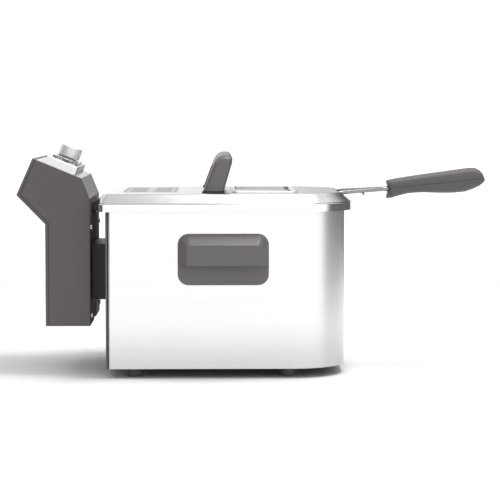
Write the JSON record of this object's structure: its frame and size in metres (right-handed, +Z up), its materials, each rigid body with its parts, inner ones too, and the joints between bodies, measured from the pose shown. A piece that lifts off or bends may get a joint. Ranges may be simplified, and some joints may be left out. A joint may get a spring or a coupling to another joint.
{
  "type": "deep fryer",
  "caption": "Countertop deep fryer: brushed steel housing, lift-out oil pot, lidded wire basket with a long grip, and a rear control head carrying the element.",
  "frame": {"origin": "middle of the whole object's footprint, control head to basket grip, on the plane the feet stand on", "axes": "+X towards the front, where the basket grip is; +Z up; +Y towards the right side handle"},
  "size_m": [0.5716, 0.274, 0.2785],
  "materials": {
    "brushed_steel": "brushed",
    "polished_steel": "satin",
    "pot_steel": "satin",
    "screw_steel": "plain",
    "grey_plastic": "fine texture",
    "soft_grip": "soft touch",
    "black_plastic": "fine texture",
    "vent_plastic": "fine texture",
    "rubber": "matte",
    "glass": "clear",
    "board": "solder mask",
    "filter": "felt",
    "element_alloy": "heat-darkened alloy",
    "red_plastic": "plain",
    "white_plastic": "plain",
    "brass": "plain",
    "zinc": "cast"
  },
  "bodies": {
    "housing": {"outer_housing": "brushed_steel", "rear_panel": "grey_plastic", "base_plate": "black_plastic", "feet": "rubber", "base_screws": "screw_steel", "side_handle_left": "grey_plastic", "side_handle_right": "grey_plastic", "handle_bracket_left": "screw_steel", "handle_bracket_right": "screw_steel", "side_handle_screws": "screw_steel", "rail_bracket": "black_plastic", "rail_screws": "screw_steel"},
    "pot": {"oil_pot": "pot_steel", "pot_rim": "polished_steel", "handle_rest": "polished_steel"},
    "lid": {"lid_shell": "brushed_steel", "lid_liner": "polished_steel", "lid_seal": "rubber", "window_frame": "brushed_steel", "window_glass": "glass", "vent_frame": "black_plastic", "filter_pad": "filter", "lid_handle": "grey_plastic", "lid_handle_base": "black_plastic", "lid_handle_screws": "screw_steel"},
    "vent": {"vent_cover": "vent_plastic"},
    "basket": {"basket_mesh": "polished_steel", "basket_rim": "polished_steel", "basket_hook": "polished_steel", "basket_hoops": "polished_steel", "handle_rods": "polished_steel", "rod_brace": "polished_steel", "grip_upper": "soft_grip", "grip_lower": "soft_grip", "grip_screws": "screw_steel"},
    "head": {"head_cover": "grey_plastic", "head_front": "grey_plastic", "head_screws": "screw_steel", "guide_channel": "black_plastic", "panel_plate": "brushed_steel", "control_block": "brushed_steel", "display_lens": "glass", "display_board": "board", "encoder": "zinc", "thermal_cutout": "black_plastic", "power_board": "board", "seat_switch": "black_plastic", "power_inlet": "black_plastic", "inlet_pins": "brass", "element_neck": "black_plastic", "neck_screws": "screw_steel", "heating_element": "element_alloy", "element_tray": "screw_steel", "temperature_probe": "screw_steel"},
    "dial": {"dial_shaft": "screw_steel", "dial": "brushed_steel"},
    "reset": {"reset_button": "red_plastic"},
    "plunger": {"seat_plunger": "white_plastic"}
  },
  "joints": [
    {"name": "lid_lift", "type": "slide", "parent": "housing", "child": "lid", "axis": [0, 0, 1], "range_m": [0, 0.5]},
    {"name": "basket_lift", "type": "slide", "parent": "housing", "child": "basket", "axis": [0, 0, 1], "range_m": [0, 0.42]},
    {"name": "head_lift", "type": "slide", "parent": "housing", "child": "head", "axis": [0, 0, 1], "range_m": [0, 0.36]},
    {"name": "pot_lift", "type": "slide", "parent": "housing", "child": "pot", "axis": [0, 0, 1], "range_m": [0, 0.17]},
    {"name": "vent_cover_lift", "type": "slide", "parent": "lid", "child": "vent", "axis": [0, 0, 1], "range_m": [0, 0.03]},
    {"name": "dial_turn", "type": "hinge", "parent": "head", "child": "dial", "pos_m": [-0.23658, 0.014, 0.24872], "axis": [0.3796, 0, 0.9251], "continuous": true},
    {"name": "reset_press", "type": "slide", "parent": "head", "child": "reset", "axis": [1, 0, 0], "range_m": [0, 0.0012], "stiffness_N_per_m": 400},
    {"name": "plunger_press", "type": "slide", "parent": "head", "child": "plunger", "axis": [0, 0, 1], "range_m": [0, 0.0018], "stiffness_N_per_m": 200}
  ],
  "couplings": [
    {"joint": "basket_lift", "follows": "lid_lift", "ratio": 0.84},
    {"joint": "head_lift", "follows": "lid_lift", "ratio": 0.72},
    {"joint": "pot_lift", "follows": "lid_lift", "ratio": 0.34}
  ]
}
